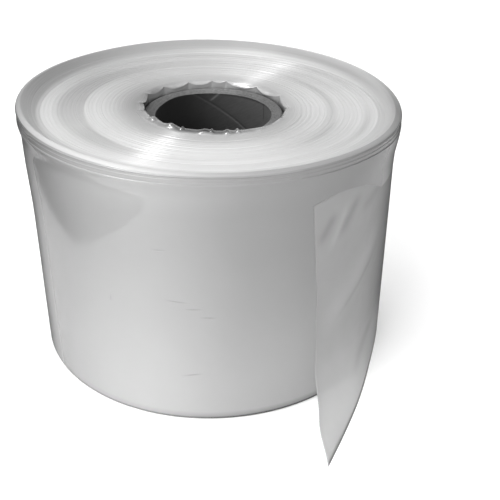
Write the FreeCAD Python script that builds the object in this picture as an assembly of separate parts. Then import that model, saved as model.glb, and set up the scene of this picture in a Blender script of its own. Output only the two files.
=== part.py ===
import FreeCAD, Part
import math
import os

# Roll of poly tubing: lay-flat plastic film wound on a spiral-wound cardboard core.
# Millimetres, +Z up. The origin is on the core's axis, on the surface the roll stands on,
# and +Z runs up the core. The film's free end peels off the roll on the +X -Y side.
# Two pieces: core, and film_roll, whose turns and free end are one length of film.
# Azimuths are in degrees from +X towards +Y.

# ---- driving dimensions -------------------------------------------------------------------

# cardboard core
CORE_BORE = 76.2            # a three-inch core
CORE_WALL = 8.0
CORE_LENGTH = 157.5         # cut shorter than the film is wide
CORE_END_SLOPE = 2.4        # the rough top end falls this far, in to the bore
CORE_BEVEL = 0.6            # on the cut ends

# film and the roll it makes
FILM_THICKNESS = 0.3        # two walls of flattened tubing, 0.15 each
ROLL_DIAMETER = 240.0       # over the middle of the last turn
WIND_CLEARANCE = 0.15       # between the first turn and the core
WRAP_SLACK = 0.2            # between the loose outer wraps
WRAP_OVERLAP = 8.0          # how deep a modelled wrap reaches into the pack
ROLL_SHIFT_X = -1.8         # the turns aren't quite concentric: their axis from the core's
ROLL_SHIFT_Y = -1.0

# end face: the turns stand in steps, low at the core and high at the rim
INNER_EDGE_HEIGHT = 161.2   # of the first turns
RIM_HEIGHT = 169.5          # of the lip
FIRST_BAND_WIDTH = 5.6      # the buckled first turns
TURN_BANDS = 15             # bands of turns beyond them, each standing at one height
BAND_UNEVEN = 0.3           # share by which the bands differ in width
DISH_POWER = 6.0            # above 1, the dish is flat inside and steep near the rim
TURN_WANDER = 0.35          # how far a band strays from the dish
FACE_TILT = 1.35            # degrees the end face leans, low on the +X side
LIP_INSET = 4.0             # how far inside the widest turn the lip lies
SHOULDER_DROP = 8.5         # height of the rounded shoulder outside the lip

# flared edge of the outer turns
FLARE = 3.2                 # how far the film's edge stands out
FLARE_START = 147.0         # also the upper edge of the last turn
FLARE_END = 161.0
UPPER_WRAP_HEIGHT = 163.5   # leaning edge of the last wrap but one, on the axis
LOWER_WRAP_HEIGHT = 159.0   # leaning edge of the last wrap, on the axis
WRAP_LEAN = 1.4             # degrees
WRAP_LEAN_AZIMUTH = -27.0   # the edges are lowest here, beside the free end

BEND_RUNS = 2               # straight runs that stand for each bend of the flare and shoulder

# starring: the first turns have buckled into a ring of uneven cusps round the core
STAR_CUSP_AZIMUTHS = (-4.0, 23.0, 52.0, 80.0, 91.5, 111.5, 133.0, 155.0, 176.0, 192.0, 209.0,
                      226.0, 244.0, 260.0, 279.0, 298.0, 333.0)
STAR_CUSP_GAP = 3.3         # from the core to the cusps
STAR_BULGE_GAP = 1.1        # from the core to the bulges between them
STAR_SHIFT = 0.8            # the ring stands off the core's axis, along +X
STAR_DEPTH = 6.7            # below the first turns' edge

# free end of the film
CUT_AZIMUTH = -61.5         # of the cut edge, where it still lies on the roll
CUT_AZIMUTH_FREE = -60.2    # of the cut edge where it has just left the roll
CUT_SWING = 8.2             # degrees the free cut edge swings on by the foot
CUT_SWING_POWER = 2.3
PEEL_HEIGHT = 95.0          # the sheet has left the roll below this
PEEL_AZIMUTH_TOP = -61.5    # where it leaves the roll at that height
PEEL_AZIMUTH_FOOT = -27.5   # where it leaves the roll at the foot
PEEL_ANGLE = 6.0            # degrees between the sheet and the roll where it leaves
PEEL_MARGIN = 2.0           # degrees of the last turn left standing past that line
TAIL_BOW = 4.7              # outward bow of the free sheet at the foot
TAIL_BOW_POWER = 0.8        # below 1, the bow is full and leaves the roll abruptly
TAIL_RIPPLE = 0.8           # height of the sheet's soft diagonal folds
TAIL_RIPPLE_PITCH = 46.0    # spacing of the folds along the sheet
TAIL_RIPPLE_RISE = 1.3      # folds crossed from the foot up to the peel height
CORNER_DROOP = 6.0          # the sheet's upper corner sags this far
CORNER_SPAN = 12.0          # degrees over which it sags
TAIL_COLUMNS = 19
TAIL_ROWS = 9

# ---- values worked out from them ----------------------------------------------------------

CORE_RADIUS = CORE_BORE / 2 + CORE_WALL
WIND_RADIUS = CORE_RADIUS + WIND_CLEARANCE
ROLL_RADIUS = ROLL_DIAMETER / 2
LOWER_RADIUS = ROLL_RADIUS - FILM_THICKNESS / 2 - WRAP_SLACK / 4
UPPER_RADIUS = ROLL_RADIUS - FILM_THICKNESS / 2 - WRAP_SLACK
PACK_RADIUS = UPPER_RADIUS - FILM_THICKNESS
WIDEST_RADIUS = LOWER_RADIUS + FLARE
LIP_RADIUS = WIDEST_RADIUS - LIP_INSET
STAR_CUSP_RADIUS = CORE_RADIUS + STAR_CUSP_GAP
STAR_BULGE_RADIUS = CORE_RADIUS + STAR_BULGE_GAP
ABOVE = RIM_HEIGHT + FLARE_START    # clear of everything
ORIGIN = FreeCAD.Vector(0, 0, 0)
UP = FreeCAD.Vector(0, 0, 1)
ROLL_SHIFT = FreeCAD.Vector(ROLL_SHIFT_X, ROLL_SHIFT_Y, 0)


# ---- small helpers ------------------------------------------------------------------------

def profile_point(radius, height):
    """A point in the XZ plane, for a profile that is turned about the core's axis."""
    return FreeCAD.Vector(radius, 0, height)


def polar(radius, azimuth, height=0.0):
    """A point at an azimuth in degrees."""
    turn = math.radians(azimuth)
    return FreeCAD.Vector(radius * math.cos(turn), radius * math.sin(turn), height)


def line(start, end):
    return Part.LineSegment(start, end).toShape()


def lines(points):
    return [line(a, b) for a, b in zip(points, points[1:])]


def bent_points(start, end):
    """Points of a bend in the XZ plane that leaves start straight up or down and ends at end.
    A few straight runs follow its arc, so that each turns into a cone."""
    across = end.x - start.x
    rise = end.z - start.z
    radius = (across ** 2 + rise ** 2) / (2 * across)
    sweep = math.atan2(abs(rise), abs(radius) - abs(across))
    points = []
    for step in range(BEND_RUNS + 1):
        turn = sweep * step / BEND_RUNS
        points.append(profile_point(start.x + radius * (1 - math.cos(turn)),
                                    start.z + math.copysign(radius * math.sin(turn), rise)))
    return points


def turned(edges):
    """The solid that a closed profile sweeps about the core's axis."""
    return Part.Face(Part.Wire(edges)).revolve(ORIGIN, UP, 360)


def cut_above(shape, height):
    """The part of a shape under the leaning plane of a wrap's edge."""
    size = 4 * ROLL_DIAMETER
    block = Part.makeBox(size, size, size, FreeCAD.Vector(-size / 2, -size / 2, 0))
    block.rotate(ORIGIN, polar(1, WRAP_LEAN_AZIMUTH + 90), WRAP_LEAN)
    block.translate(FreeCAD.Vector(0, 0, height))
    return shape.cut(block)


def side_window(corners):
    """A prism through the roll's side, over corners given as azimuth and height."""
    middle = sum(azimuth for azimuth, height in corners) / len(corners)
    outward = polar(1, middle)
    sideways = polar(1, middle + 90)
    points = []
    for azimuth, height in corners:
        offset = ROLL_RADIUS * math.sin(math.radians(azimuth - middle))
        points.append(outward * (ROLL_RADIUS / 2) + sideways * offset + UP * height)
    wire = Part.Wire(lines(points + points[:1]))
    return Part.Face(wire).extrude(outward * ROLL_RADIUS)


# ---- core ---------------------------------------------------------------------------------

def make_core():
    """The cardboard tube, with bevelled cut ends, the top one sloping in to the bore."""
    bore = CORE_BORE / 2
    bore_top = CORE_LENGTH - CORE_END_SLOPE
    corners = [
        profile_point(bore + CORE_BEVEL, 0),
        profile_point(CORE_RADIUS - CORE_BEVEL, 0),
        profile_point(CORE_RADIUS, CORE_BEVEL),
        profile_point(CORE_RADIUS, CORE_LENGTH - CORE_BEVEL),
        profile_point(CORE_RADIUS - CORE_BEVEL, CORE_LENGTH),
        profile_point(bore + CORE_BEVEL, bore_top),
        profile_point(bore, bore_top - CORE_BEVEL),
        profile_point(bore, CORE_BEVEL),
    ]
    return turned(lines(corners + corners[:1]))


# ---- film: the wound pack -----------------------------------------------------------------

def flared_ring(radius, inner_radius, foot):
    """A ring whose outside rises straight from its foot and flares out like a bell."""
    bell = bent_points(profile_point(radius, FLARE_START),
                       profile_point(radius + FLARE, FLARE_END))
    corners = [profile_point(inner_radius, foot)]
    if foot < FLARE_START:
        corners.append(profile_point(radius, foot))
    corners += bell
    corners += [profile_point(bell[-1].x, ABOVE), profile_point(inner_radius, ABOVE)]
    return turned(lines(corners + corners[:1]))


def turn_bands():
    """Outer radius and height of each band of turns, from the core out: a dish that grows
    steeper towards the rim, with a small wander from band to band."""
    first = WIND_RADIUS + FIRST_BAND_WIDTH
    pitch = (LIP_RADIUS - first) / TURN_BANDS
    bands = [(first, INNER_EDGE_HEIGHT)]
    for band in range(1, TURN_BANDS + 1):
        uneven = BAND_UNEVEN * math.sin(2.1 * band) if band < TURN_BANDS else 0
        outer = first + pitch * (band + uneven)
        along = (outer - pitch / 2 - WIND_RADIUS) / (LIP_RADIUS - WIND_RADIUS)
        dish = (RIM_HEIGHT - INNER_EDGE_HEIGHT) * along ** DISH_POWER
        wander = TURN_WANDER * math.sin(2.7 * band)
        bands.append((outer, INNER_EDGE_HEIGHT + dish + wander))
    return bands


def face_cutter():
    """Everything above the end face: the stepped turns, the lip and its outer shoulder."""
    top = 2 * ABOVE
    corners = [profile_point(0, top), profile_point(0, INNER_EDGE_HEIGHT)]
    for outer, height in turn_bands():
        if height != INNER_EDGE_HEIGHT:
            corners.append(profile_point(corners[-1].x, height))
        corners.append(profile_point(outer, height))
    lip = profile_point(LIP_RADIUS, RIM_HEIGHT)
    foot = profile_point(WIDEST_RADIUS, RIM_HEIGHT - SHOULDER_DROP)
    corners += reversed(bent_points(foot, lip))
    corners += [profile_point(ROLL_DIAMETER, foot.z), profile_point(ROLL_DIAMETER, top)]
    cutter = turned(lines(corners + corners[:1]))
    cutter.rotate(UP * RIM_HEIGHT, FreeCAD.Vector(0, 1, 0), FACE_TILT)
    return cutter


def last_turn():
    """The last turn, a true spiral: it ends in a step one film thick at the cut edge. Its
    upper corner sags, and it is open where the film has peeled away."""
    arcs = []
    quarter = 90
    for start in range(0, 360, quarter):
        spots = [start, start + quarter / 2, start + quarter]
        radii = [ROLL_RADIUS + FILM_THICKNESS * (0.5 - spot / 360) for spot in spots]
        arcs.append(Part.Arc(*[polar(radius, CUT_AZIMUTH + spot)
                               for radius, spot in zip(radii, spots)]).toShape())
    step = line(polar(ROLL_RADIUS - FILM_THICKNESS / 2, CUT_AZIMUTH),
                polar(ROLL_RADIUS + FILM_THICKNESS / 2, CUT_AZIMUTH))
    disc = Part.Face(Part.Wire(arcs + [step])).extrude(UP * FLARE_START)
    turn = disc.cut(Part.makeCylinder(PACK_RADIUS - WRAP_OVERLAP, FLARE_START))
    bared = PEEL_HEIGHT * (1 - PEEL_MARGIN / (PEEL_AZIMUTH_FOOT - PEEL_AZIMUTH_TOP))
    peeled = side_window([(PEEL_AZIMUTH_FOOT - PEEL_MARGIN, 0), (CUT_AZIMUTH, 0),
                          (CUT_AZIMUTH, bared)])
    sag = side_window([(CUT_AZIMUTH, FLARE_START - CORNER_DROOP), (CUT_AZIMUTH, FLARE_START),
                       (CUT_AZIMUTH + CORNER_SPAN, FLARE_START)])
    return turn.cut([peeled, sag])


def star_pocket():
    """The hollow that the buckled first turns leave round the end of the core."""
    floor = INNER_EDGE_HEIGHT - STAR_DEPTH
    first = STAR_CUSP_AZIMUTHS[0]
    arcs = []
    for cusp, following in zip(STAR_CUSP_AZIMUTHS, STAR_CUSP_AZIMUTHS[1:] + (first + 360,)):
        start = polar(STAR_CUSP_RADIUS, cusp, floor)
        middle = polar(STAR_BULGE_RADIUS, (cusp + following) / 2, floor)
        end = polar(STAR_CUSP_RADIUS, following, floor)
        arcs.append(Part.Arc(start, middle, end).toShape())
    pocket = Part.Face(Part.Wire(arcs)).extrude(UP * ABOVE)
    pocket.translate(FreeCAD.Vector(STAR_SHIFT, 0, 0))
    return pocket


def core_space():
    """The space that the core fills, with the starred hollow round its end."""
    return Part.makeCylinder(WIND_RADIUS, ABOVE).fuse(star_pocket())


def make_pack():
    """All the turns, wound tight: the body, its flared edge, the stepped face, the starring."""
    pack = flared_ring(PACK_RADIUS, CORE_BORE / 4, 0).cut(face_cutter())
    inside = PACK_RADIUS - WRAP_OVERLAP
    upper = cut_above(flared_ring(UPPER_RADIUS, inside, 0), UPPER_WRAP_HEIGHT)
    lower = cut_above(flared_ring(LOWER_RADIUS, inside, FLARE_START), LOWER_WRAP_HEIGHT)
    return pack.fuse([upper, lower, last_turn()])


# ---- film: the free end -------------------------------------------------------------------

def tail_point(across, along, outward):
    """A point of the free sheet. across runs 0 to 1 from the foot up to the peel height,
    along from the root inside the pack to the cut edge, and outward is measured from the
    middle of the film's thickness."""
    lift = 1 - across
    end = CUT_AZIMUTH_FREE - CUT_SWING * lift ** CUT_SWING_POWER
    root = PEEL_AZIMUTH_TOP + (PEEL_AZIMUTH_FOOT - PEEL_AZIMUTH_TOP) * lift + PEEL_ANGLE
    azimuth = root + (end - root) * along
    nearest = ROLL_RADIUS * math.cos(math.radians(PEEL_ANGLE))
    radius = nearest / math.cos(math.radians(root - azimuth))
    travelled = ROLL_RADIUS * math.radians(root - azimuth)
    fold = math.sin(2 * math.pi * (travelled / TAIL_RIPPLE_PITCH + TAIL_RIPPLE_RISE * across))
    radius += TAIL_BOW * lift * abs(math.sin(math.pi * along)) ** TAIL_BOW_POWER
    radius += TAIL_RIPPLE * lift * along ** 2 * fold
    return polar(radius + outward, azimuth, PEEL_HEIGHT * across)


def tail_side(outward):
    """One side of the free sheet, as a smooth surface through a grid of its points."""
    grid = [[tail_point(row / (TAIL_ROWS - 1), column / (TAIL_COLUMNS - 1), outward)
             for column in range(TAIL_COLUMNS)] for row in range(TAIL_ROWS)]
    surface = Part.BSplineSurface()
    surface.interpolate(grid)
    return surface


def make_tail():
    """The free sheet: two smooth sides, closed round their edges."""
    inner, outer = tail_side(-FILM_THICKNESS / 2), tail_side(FILM_THICKNESS / 2)
    u0, u1, v0, v1 = inner.bounds()
    borders = [(inner.uIso(u), outer.uIso(u)) for u in (u0, u1)]
    borders += [(inner.vIso(v), outer.vIso(v)) for v in (v0, v1)]
    rims = [Part.makeRuledSurface(a.toShape(), b.toShape()) for a, b in borders]
    shell = Part.makeShell([inner.toShape(), outer.toShape()] + rims)
    shell.sewShape()
    tail = Part.Solid(shell)
    if tail.Volume < 0:
        tail.reverse()
    return tail


def make_film_roll():
    """The turns and the free end, set a little off the core's axis, with the core's space cut out."""
    roll = make_pack().fuse(make_tail())
    roll.translate(ROLL_SHIFT)
    return roll.cut(core_space()).removeSplitter()


# ---- pieces -------------------------------------------------------------------------------

def report(name, shape):
    box = shape.BoundBox
    print(f"{name}: {len(shape.Solids)} solid, valid {shape.isValid()}, "
          f"{shape.Volume / 1000:.1f} cm3, x {box.XMin:.1f}..{box.XMax:.1f}, "
          f"y {box.YMin:.1f}..{box.YMax:.1f}, z {box.ZMin:.1f}..{box.ZMax:.1f}")


def main():
    os.makedirs("parts", exist_ok=True)
    pieces = {"core": make_core(), "film_roll": make_film_roll()}
    for name, shape in pieces.items():
        report(name, shape)
        shape.exportStep(f"parts/{name}.step")


main()
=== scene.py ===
"""Studio scene of a roll of poly tubing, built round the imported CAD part.

The roll is lay-flat plastic film wound on a spiral-wound cardboard core. It stands on its end, and the
film's free end peels off the front. Lengths are metres in the part's own frame: the origin is on the
core's axis, on the floor, and +Z runs up the core. Azimuths are degrees from +X towards +Y.
"""

import logging
import math
from dataclasses import dataclass
from enum import Enum, IntEnum

import bpy
import numpy as np
from mathutils import Matrix, Vector


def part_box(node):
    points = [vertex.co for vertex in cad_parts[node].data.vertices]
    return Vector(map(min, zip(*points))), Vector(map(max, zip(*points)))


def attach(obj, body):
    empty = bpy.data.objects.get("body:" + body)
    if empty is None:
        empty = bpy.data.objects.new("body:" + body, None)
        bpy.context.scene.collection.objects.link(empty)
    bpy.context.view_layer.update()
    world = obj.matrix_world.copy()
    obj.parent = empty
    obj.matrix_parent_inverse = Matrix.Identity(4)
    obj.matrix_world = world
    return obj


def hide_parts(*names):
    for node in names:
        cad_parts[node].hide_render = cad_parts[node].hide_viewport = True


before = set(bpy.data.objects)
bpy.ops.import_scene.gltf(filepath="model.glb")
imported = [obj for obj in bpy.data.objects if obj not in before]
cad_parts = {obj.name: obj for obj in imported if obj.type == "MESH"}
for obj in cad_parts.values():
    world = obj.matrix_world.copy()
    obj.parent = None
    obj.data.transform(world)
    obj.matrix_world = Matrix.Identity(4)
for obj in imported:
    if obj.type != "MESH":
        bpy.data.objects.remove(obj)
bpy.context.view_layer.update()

LOG = logging.getLogger("film_roll")
MM = 0.001
ROOT = "root"

Span = tuple[float, float]
Place = tuple[float, float, float]
Row = np.ndarray
Values = np.ndarray | float


# ---- shapes over a length or an azimuth ----------------------------------------------------

def wave(azimuths: np.ndarray, cycles: int, phase: float) -> np.ndarray:
    """A sine round the roll with a number of whole waves, turned by a phase in degrees."""
    return np.sin(np.radians(cycles * (azimuths - phase)))


def turn_from(azimuths: np.ndarray, centre: float) -> np.ndarray:
    """The shorter way round from a centre to each azimuth, from -180 to 180 degrees."""
    return (azimuths - centre + 180) % 360 - 180


def bell(value: np.ndarray, centre: Values, width: float) -> np.ndarray:
    """A smooth bell: 1 at its centre, and about a third at one width from it."""
    return np.exp(-((value - centre) / width) ** 2)


def hump(azimuths: np.ndarray, centre: float, spread: float) -> np.ndarray:
    """A bell on one side of the roll, in degrees."""
    return bell(turn_from(azimuths, centre), 0, spread)


def ease(value: np.ndarray, low: float, high: float) -> np.ndarray:
    """A smooth step from 0 at low to 1 at high."""
    share = np.clip((value - low) / (high - low), 0, 1)
    return share * share * (3 - 2 * share)


def fall(value: np.ndarray, low: float, high: float) -> np.ndarray:
    """A smooth step from 1 at low to 0 at high."""
    return 1 - ease(value, low, high)


def plateau(value: np.ndarray, rises: Span, falls: Span) -> np.ndarray:
    """A smooth step up to 1 over one span, and back down to 0 over a later one."""
    return ease(value, *rises) - ease(value, *falls)


@dataclass(frozen=True)
class Patch:
    """A soft patch on the roll, all round unless it has an azimuth and a spread in degrees.

    The spans in which it comes in and goes out are heights or distances from the axis.
    """

    strength: float
    azimuth: float = 0.0
    spread: float = math.inf
    rises: Span | None = None
    falls: Span | None = None

    def at(self, azimuths: np.ndarray, place: Values) -> np.ndarray:
        """How strong the patch is.

        Args:
            azimuths: azimuth of each point.
            place: its height, or its distance from the axis.

        Returns:
            The strength at each point.
        """
        value = self.strength * hump(azimuths, self.azimuth, self.spread)
        if self.rises is not None:
            value = value * ease(place, *self.rises)
        if self.falls is not None:
            value = value * fall(place, *self.falls)
        return value


Patches = tuple[Patch, ...]


def small_lip(azimuth: float, spread: float, radius: float) -> Patch:
    """A small lip that curls up at the front of the starred edge, inside a radius."""
    return Patch(1.3 * MM, azimuth, spread, falls=(radius - 1.3 * MM, radius + 1.3 * MM))


def total(patches: Patches, azimuths: np.ndarray, place: Values = 0.0) -> np.ndarray:
    """The strength of several patches together at each point."""
    return sum(patch.at(azimuths, place) for patch in patches)


# ---- meshes -------------------------------------------------------------------------------

class Closure(Enum):
    """How the rows of a swept grid are joined."""

    TORUS = "each row closes on itself, and the last row joins the first"
    SHEET = "an open sheet"


def grid_faces(rows: int, columns: int, closure: Closure) -> np.ndarray:
    """Quads of a grid of points.

    Args:
        rows: number of rows.
        columns: points in each row.
        closure: how the grid is joined to itself.

    Returns:
        Four point numbers for each face, row by row.
    """
    open_sides = 1 if closure is Closure.SHEET else 0
    steps = np.arange(rows - open_sides), np.arange(columns - open_sides)
    row, column = np.meshgrid(*steps, indexing="ij")
    above, beside = (row + 1) % rows, (column + 1) % columns
    corners = ((row, column), (row, beside), (above, beside), (above, column))
    return np.stack([(r * columns + c).ravel() for r, c in corners], axis=1)


def polar_points(radius: Values, azimuths: np.ndarray, height: Values) -> np.ndarray:
    """Points (x, y, z) at distances from an axis, azimuths and heights.

    Args:
        radius: distances from the axis.
        azimuths: degrees.
        height: heights.

    Returns:
        The points, one a row.
    """
    turn = np.radians(azimuths)
    spread_out = np.broadcast_arrays(radius * np.cos(turn), radius * np.sin(turn), height)
    return np.stack(spread_out, axis=-1)


def new_piece(name: str, points: np.ndarray, faces: np.ndarray) -> bpy.types.Object:
    """A smooth-shaded mesh object in the scene.

    Args:
        name: the piece's name.
        points: one point a row, in metres.
        faces: point numbers of each quad.

    Returns:
        The object.
    """
    mesh = bpy.data.meshes.new(name)
    mesh.from_pydata(points.tolist(), [], faces.tolist())
    mesh.polygons.foreach_set("use_smooth", [True] * len(mesh.polygons))
    mesh.validate()
    mesh.update()
    piece = bpy.data.objects.new(name, mesh)
    bpy.context.scene.collection.objects.link(piece)
    return piece


def add_values(piece: bpy.types.Object, name: str, values: np.ndarray) -> None:
    """Stores one number a point on a piece, for its material to read."""
    attribute = piece.data.attributes.new(name, "FLOAT", "POINT")
    attribute.data.foreach_set("value", values.astype(np.float32).ravel())


def set_finishes(piece: bpy.types.Object, numbers: np.ndarray) -> None:
    """Gives each face of a piece the number of its finish."""
    piece.data.polygons.foreach_set("material_index", numbers.astype(np.int32).ravel())


# ---- shader nodes -------------------------------------------------------------------------

Socket = bpy.types.NodeSocket
Number = float | Socket
NOISE_MIDDLE = 0.5


class NodeBench:
    """A node tree being put together, with short ways to add and join nodes."""

    def __init__(self, tree: bpy.types.NodeTree) -> None:
        """Keeps the tree that nodes are added to."""
        self.tree = tree

    def add(self, kind: str, **settings: object) -> bpy.types.Node:
        """Adds a node.

        Args:
            kind: the node's type name, without its ShaderNode prefix.
            settings: the node's own properties.

        Returns:
            The node.
        """
        node = self.tree.nodes.new("ShaderNode" + kind)
        for name, value in settings.items():
            setattr(node, name, value)
        return node

    def feed(self, socket: Socket, value: object) -> None:
        """Links a socket to another, or sets its value.

        Args:
            socket: the socket to feed.
            value: another socket, or what to set.
        """
        if isinstance(value, bpy.types.NodeSocket):
            self.tree.links.new(value, socket)
        else:
            socket.default_value = value

    def math(self, operation: str, *values: Number) -> Socket:
        """Works out one number.

        Args:
            operation: the Math node's operation.
            values: its one to three inputs.

        Returns:
            The result's socket.
        """
        node = self.add("Math", operation=operation)
        for socket, value in zip(node.inputs, values):
            self.feed(socket, value)
        return node.outputs[0]

    def times(self, first: Number, *others: Number) -> Socket:
        """The product of two or more numbers.

        Args:
            first: a number.
            others: the numbers to multiply it by.

        Returns:
            The product's socket.
        """
        for other in others:
            first = self.math("MULTIPLY", first, other)
        return first

    def plus(self, first: Number, *others: Number) -> Socket:
        """The sum of two or more numbers.

        Args:
            first: a number.
            others: the numbers to add.

        Returns:
            The sum's socket.
        """
        for other in others:
            first = self.math("ADD", first, other)
        return first

    def less(self, value: Number, taken: Number) -> Socket:
        """A number with another taken from it."""
        return self.math("SUBTRACT", value, taken)

    def swing(self, noise: Number, contrast: Number) -> Socket:
        """Noise made to swing about 0, by half the contrast to each side."""
        return self.times(self.less(noise, NOISE_MIDDLE), contrast)

    def remap(self, value: Number, low: Number, high: Number, to_low: Number, to_high: Number) -> Socket:
        """Maps a span of numbers smoothly to another.

        Args:
            value: the number to map.
            low: start of its span.
            high: end of its span.
            to_low: what the start maps to.
            to_high: what the end maps to.

        Returns:
            The result's socket.
        """
        node = self.add("MapRange", interpolation_type="SMOOTHSTEP")
        for socket, number in zip(node.inputs, (value, low, high, to_low, to_high)):
            self.feed(socket, number)
        return node.outputs[0]

    def noise(self, place: Socket, detail: float, scale: float = 1.0, dimensions: str = "3D") -> Socket:
        """Noise from about 0 to 1.

        Args:
            place: where it is read: a vector, or a number for noise along a line.
            detail: how many finer layers it has.
            scale: how fine it is.
            dimensions: 3D for a vector, 1D for a number.

        Returns:
            The noise's socket.
        """
        node = self.add("TexNoise", noise_dimensions=dimensions)
        self.feed(node.inputs["W" if dimensions == "1D" else "Vector"], place)
        node.inputs["Scale"].default_value = scale
        node.inputs["Detail"].default_value = detail
        return node.outputs[0]

    def place(self) -> Socket:
        """The surface point's vector, in the piece's own metres."""
        return self.add("TexCoord").outputs["Object"]

    def polar_place(self) -> tuple[Socket, Socket, Socket, Socket]:
        """The surface point, about the piece's own axis.

        Returns:
            Its vector, its distance from the axis, its azimuth in degrees and its height.
        """
        vector = self.place()
        split = self.add("SeparateXYZ")
        self.feed(split.inputs[0], vector)
        x, y, z = split.outputs
        radius = self.math("SQRT", self.plus(self.times(x, x), self.times(y, y)))
        azimuth = self.math("DEGREES", self.math("ARCTAN2", y, x))
        return vector, radius, azimuth, z


class GroupBench(NodeBench):
    """A shader node group being put together, with named number sockets."""

    def __init__(self, name: str, inputs: dict[str, float], outputs: tuple[str, ...]) -> None:
        """Starts a group.

        Args:
            name: the group's name.
            inputs: names of its inputs, with their usual values.
            outputs: names of its outputs.
        """
        super().__init__(bpy.data.node_groups.new(name, "ShaderNodeTree"))
        for label, usual in inputs.items():
            self.new_socket(label, "INPUT").default_value = usual
        for label in outputs:
            self.new_socket(label, "OUTPUT")
        source = self.tree.nodes.new("NodeGroupInput")
        self.given = {socket.name: socket for socket in source.outputs if socket.name}
        self.result = self.tree.nodes.new("NodeGroupOutput")

    def new_socket(self, label: str, direction: str) -> bpy.types.NodeTreeInterfaceSocket:
        """Adds a number socket to the group's interface."""
        return self.tree.interface.new_socket(name=label, in_out=direction, socket_type="NodeSocketFloat")

    def finish(self, **outputs: Number) -> bpy.types.NodeTree:
        """Feeds the group's outputs by name, and gives its tree.

        Args:
            outputs: what each output gets, by its name.

        Returns:
            The group's tree.
        """
        for label, value in outputs.items():
            self.feed(self.result.inputs[label], value)
        return self.tree


def haze_group() -> bpy.types.NodeTree:
    """Cloudiness of milky film: soft uneven tone, and a faint unevenness of the surface.

    Returns:
        The group's tree.
    """
    bench = GroupBench("Milky Haze", {"Contrast": 0.05, "Size": 0.05}, ("Tone", "Relief"))
    scaled = bench.add("VectorMath", operation="SCALE")
    bench.feed(scaled.inputs[0], bench.place())
    bench.feed(scaled.inputs["Scale"], bench.math("DIVIDE", 1.0, bench.given["Size"]))
    cloud = bench.noise(scaled.outputs[0], detail=3.0)
    return bench.finish(Tone=bench.plus(1.0, bench.swing(cloud, bench.given["Contrast"])), Relief=cloud)


def wind_group() -> bpy.types.NodeTree:
    """Edges of the wound turns: rings of uneven tone and height about the core's axis.

    Returns:
        The group's tree.
    """
    usual = {"Pitch": 0.0008, "Contrast": 0.1, "Band Pitch": 0.008, "Band Contrast": 0.05, "Stray": 0.0006}
    bench = GroupBench("Wound Turns", usual, ("Tone", "Relief"))
    given = bench.given
    vector, radius, _azimuth, _height = bench.polar_place()
    winding = bench.plus(radius, bench.swing(bench.noise(vector, detail=1.0, scale=9.0), given["Stray"]))
    fine = bench.noise(bench.math("DIVIDE", winding, given["Pitch"]), detail=3.0, dimensions="1D")
    broad = bench.noise(bench.math("DIVIDE", winding, given["Band Pitch"]), detail=1.0, dimensions="1D")
    patchy = bench.remap(bench.noise(vector, detail=2.0, scale=22.0), 0.35, 0.65, 0.45, 1.0)
    fine_tone = bench.swing(fine, bench.times(given["Contrast"], patchy))
    tone = bench.plus(1.0, bench.plus(fine_tone, bench.swing(broad, given["Band Contrast"])))
    return bench.finish(Tone=tone, Relief=bench.times(fine, patchy))


def pucker_group() -> bpy.types.NodeTree:
    """One small pucker in the film, a short crease pressed into the roll's side.

    Returns:
        The group's tree.
    """
    usual = {"Azimuth": 0.0, "Height": 0.0, "Length": 0.012, "Width": 0.0008, "Rise": 0.0}
    bench = GroupBench("Film Pucker", usual | {"Arc Radius": 0.12}, ("Mask",))
    given = bench.given
    _vector, _radius, azimuth, height = bench.polar_place()
    turn = bench.math("RADIANS", bench.less(azimuth, given["Azimuth"]))
    along = bench.times(turn, given["Arc Radius"])
    across = bench.less(bench.less(height, given["Height"]), bench.times(along, given["Rise"]))
    ends = bench.remap(bench.math("ABSOLUTE", along), 0.0, given["Length"], 1.0, 0.0)
    sides = bench.remap(bench.math("ABSOLUTE", across), 0.0, given["Width"], 1.0, 0.0)
    return bench.finish(Mask=bench.times(ends, sides))


def fibre_group() -> bpy.types.NodeTree:
    """Grey board: fibres drawn out along the winding, flecks and slow blotches.

    Returns:
        The group's tree.
    """
    fibre_stretch, fibre_share = 0.12, 0.7
    usual = {"Contrast": 0.25, "Lean": 0.6, "Fineness": 1400.0}
    bench = GroupBench("Board Fibre", usual, ("Tone", "Relief"))
    given = bench.given
    vector, radius, azimuth, height = bench.polar_place()
    run = bench.times(bench.math("RADIANS", azimuth), radius)
    down = bench.plus(height, bench.times(run, given["Lean"]))
    combined = bench.add("CombineXYZ")
    for socket, value in zip(combined.inputs, (bench.times(run, fibre_stretch), down, radius)):
        bench.feed(socket, bench.times(value, given["Fineness"]))
    fibres = bench.noise(combined.outputs[0], detail=4.0)
    blotches = bench.noise(vector, detail=2.0, scale=60.0)
    mixed = bench.plus(bench.times(fibres, fibre_share), bench.times(blotches, 1 - fibre_share))
    return bench.finish(Tone=bench.plus(1.0, bench.swing(mixed, given["Contrast"])), Relief=fibres)


@dataclass(frozen=True)
class Effects:
    """The shader node groups, built once and placed in each material with its own values."""

    haze: bpy.types.NodeTree
    wind: bpy.types.NodeTree
    pucker: bpy.types.NodeTree
    fibre: bpy.types.NodeTree

    @classmethod
    def build(cls) -> "Effects":
        """Builds every group."""
        return cls(haze_group(), wind_group(), pucker_group(), fibre_group())


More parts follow.
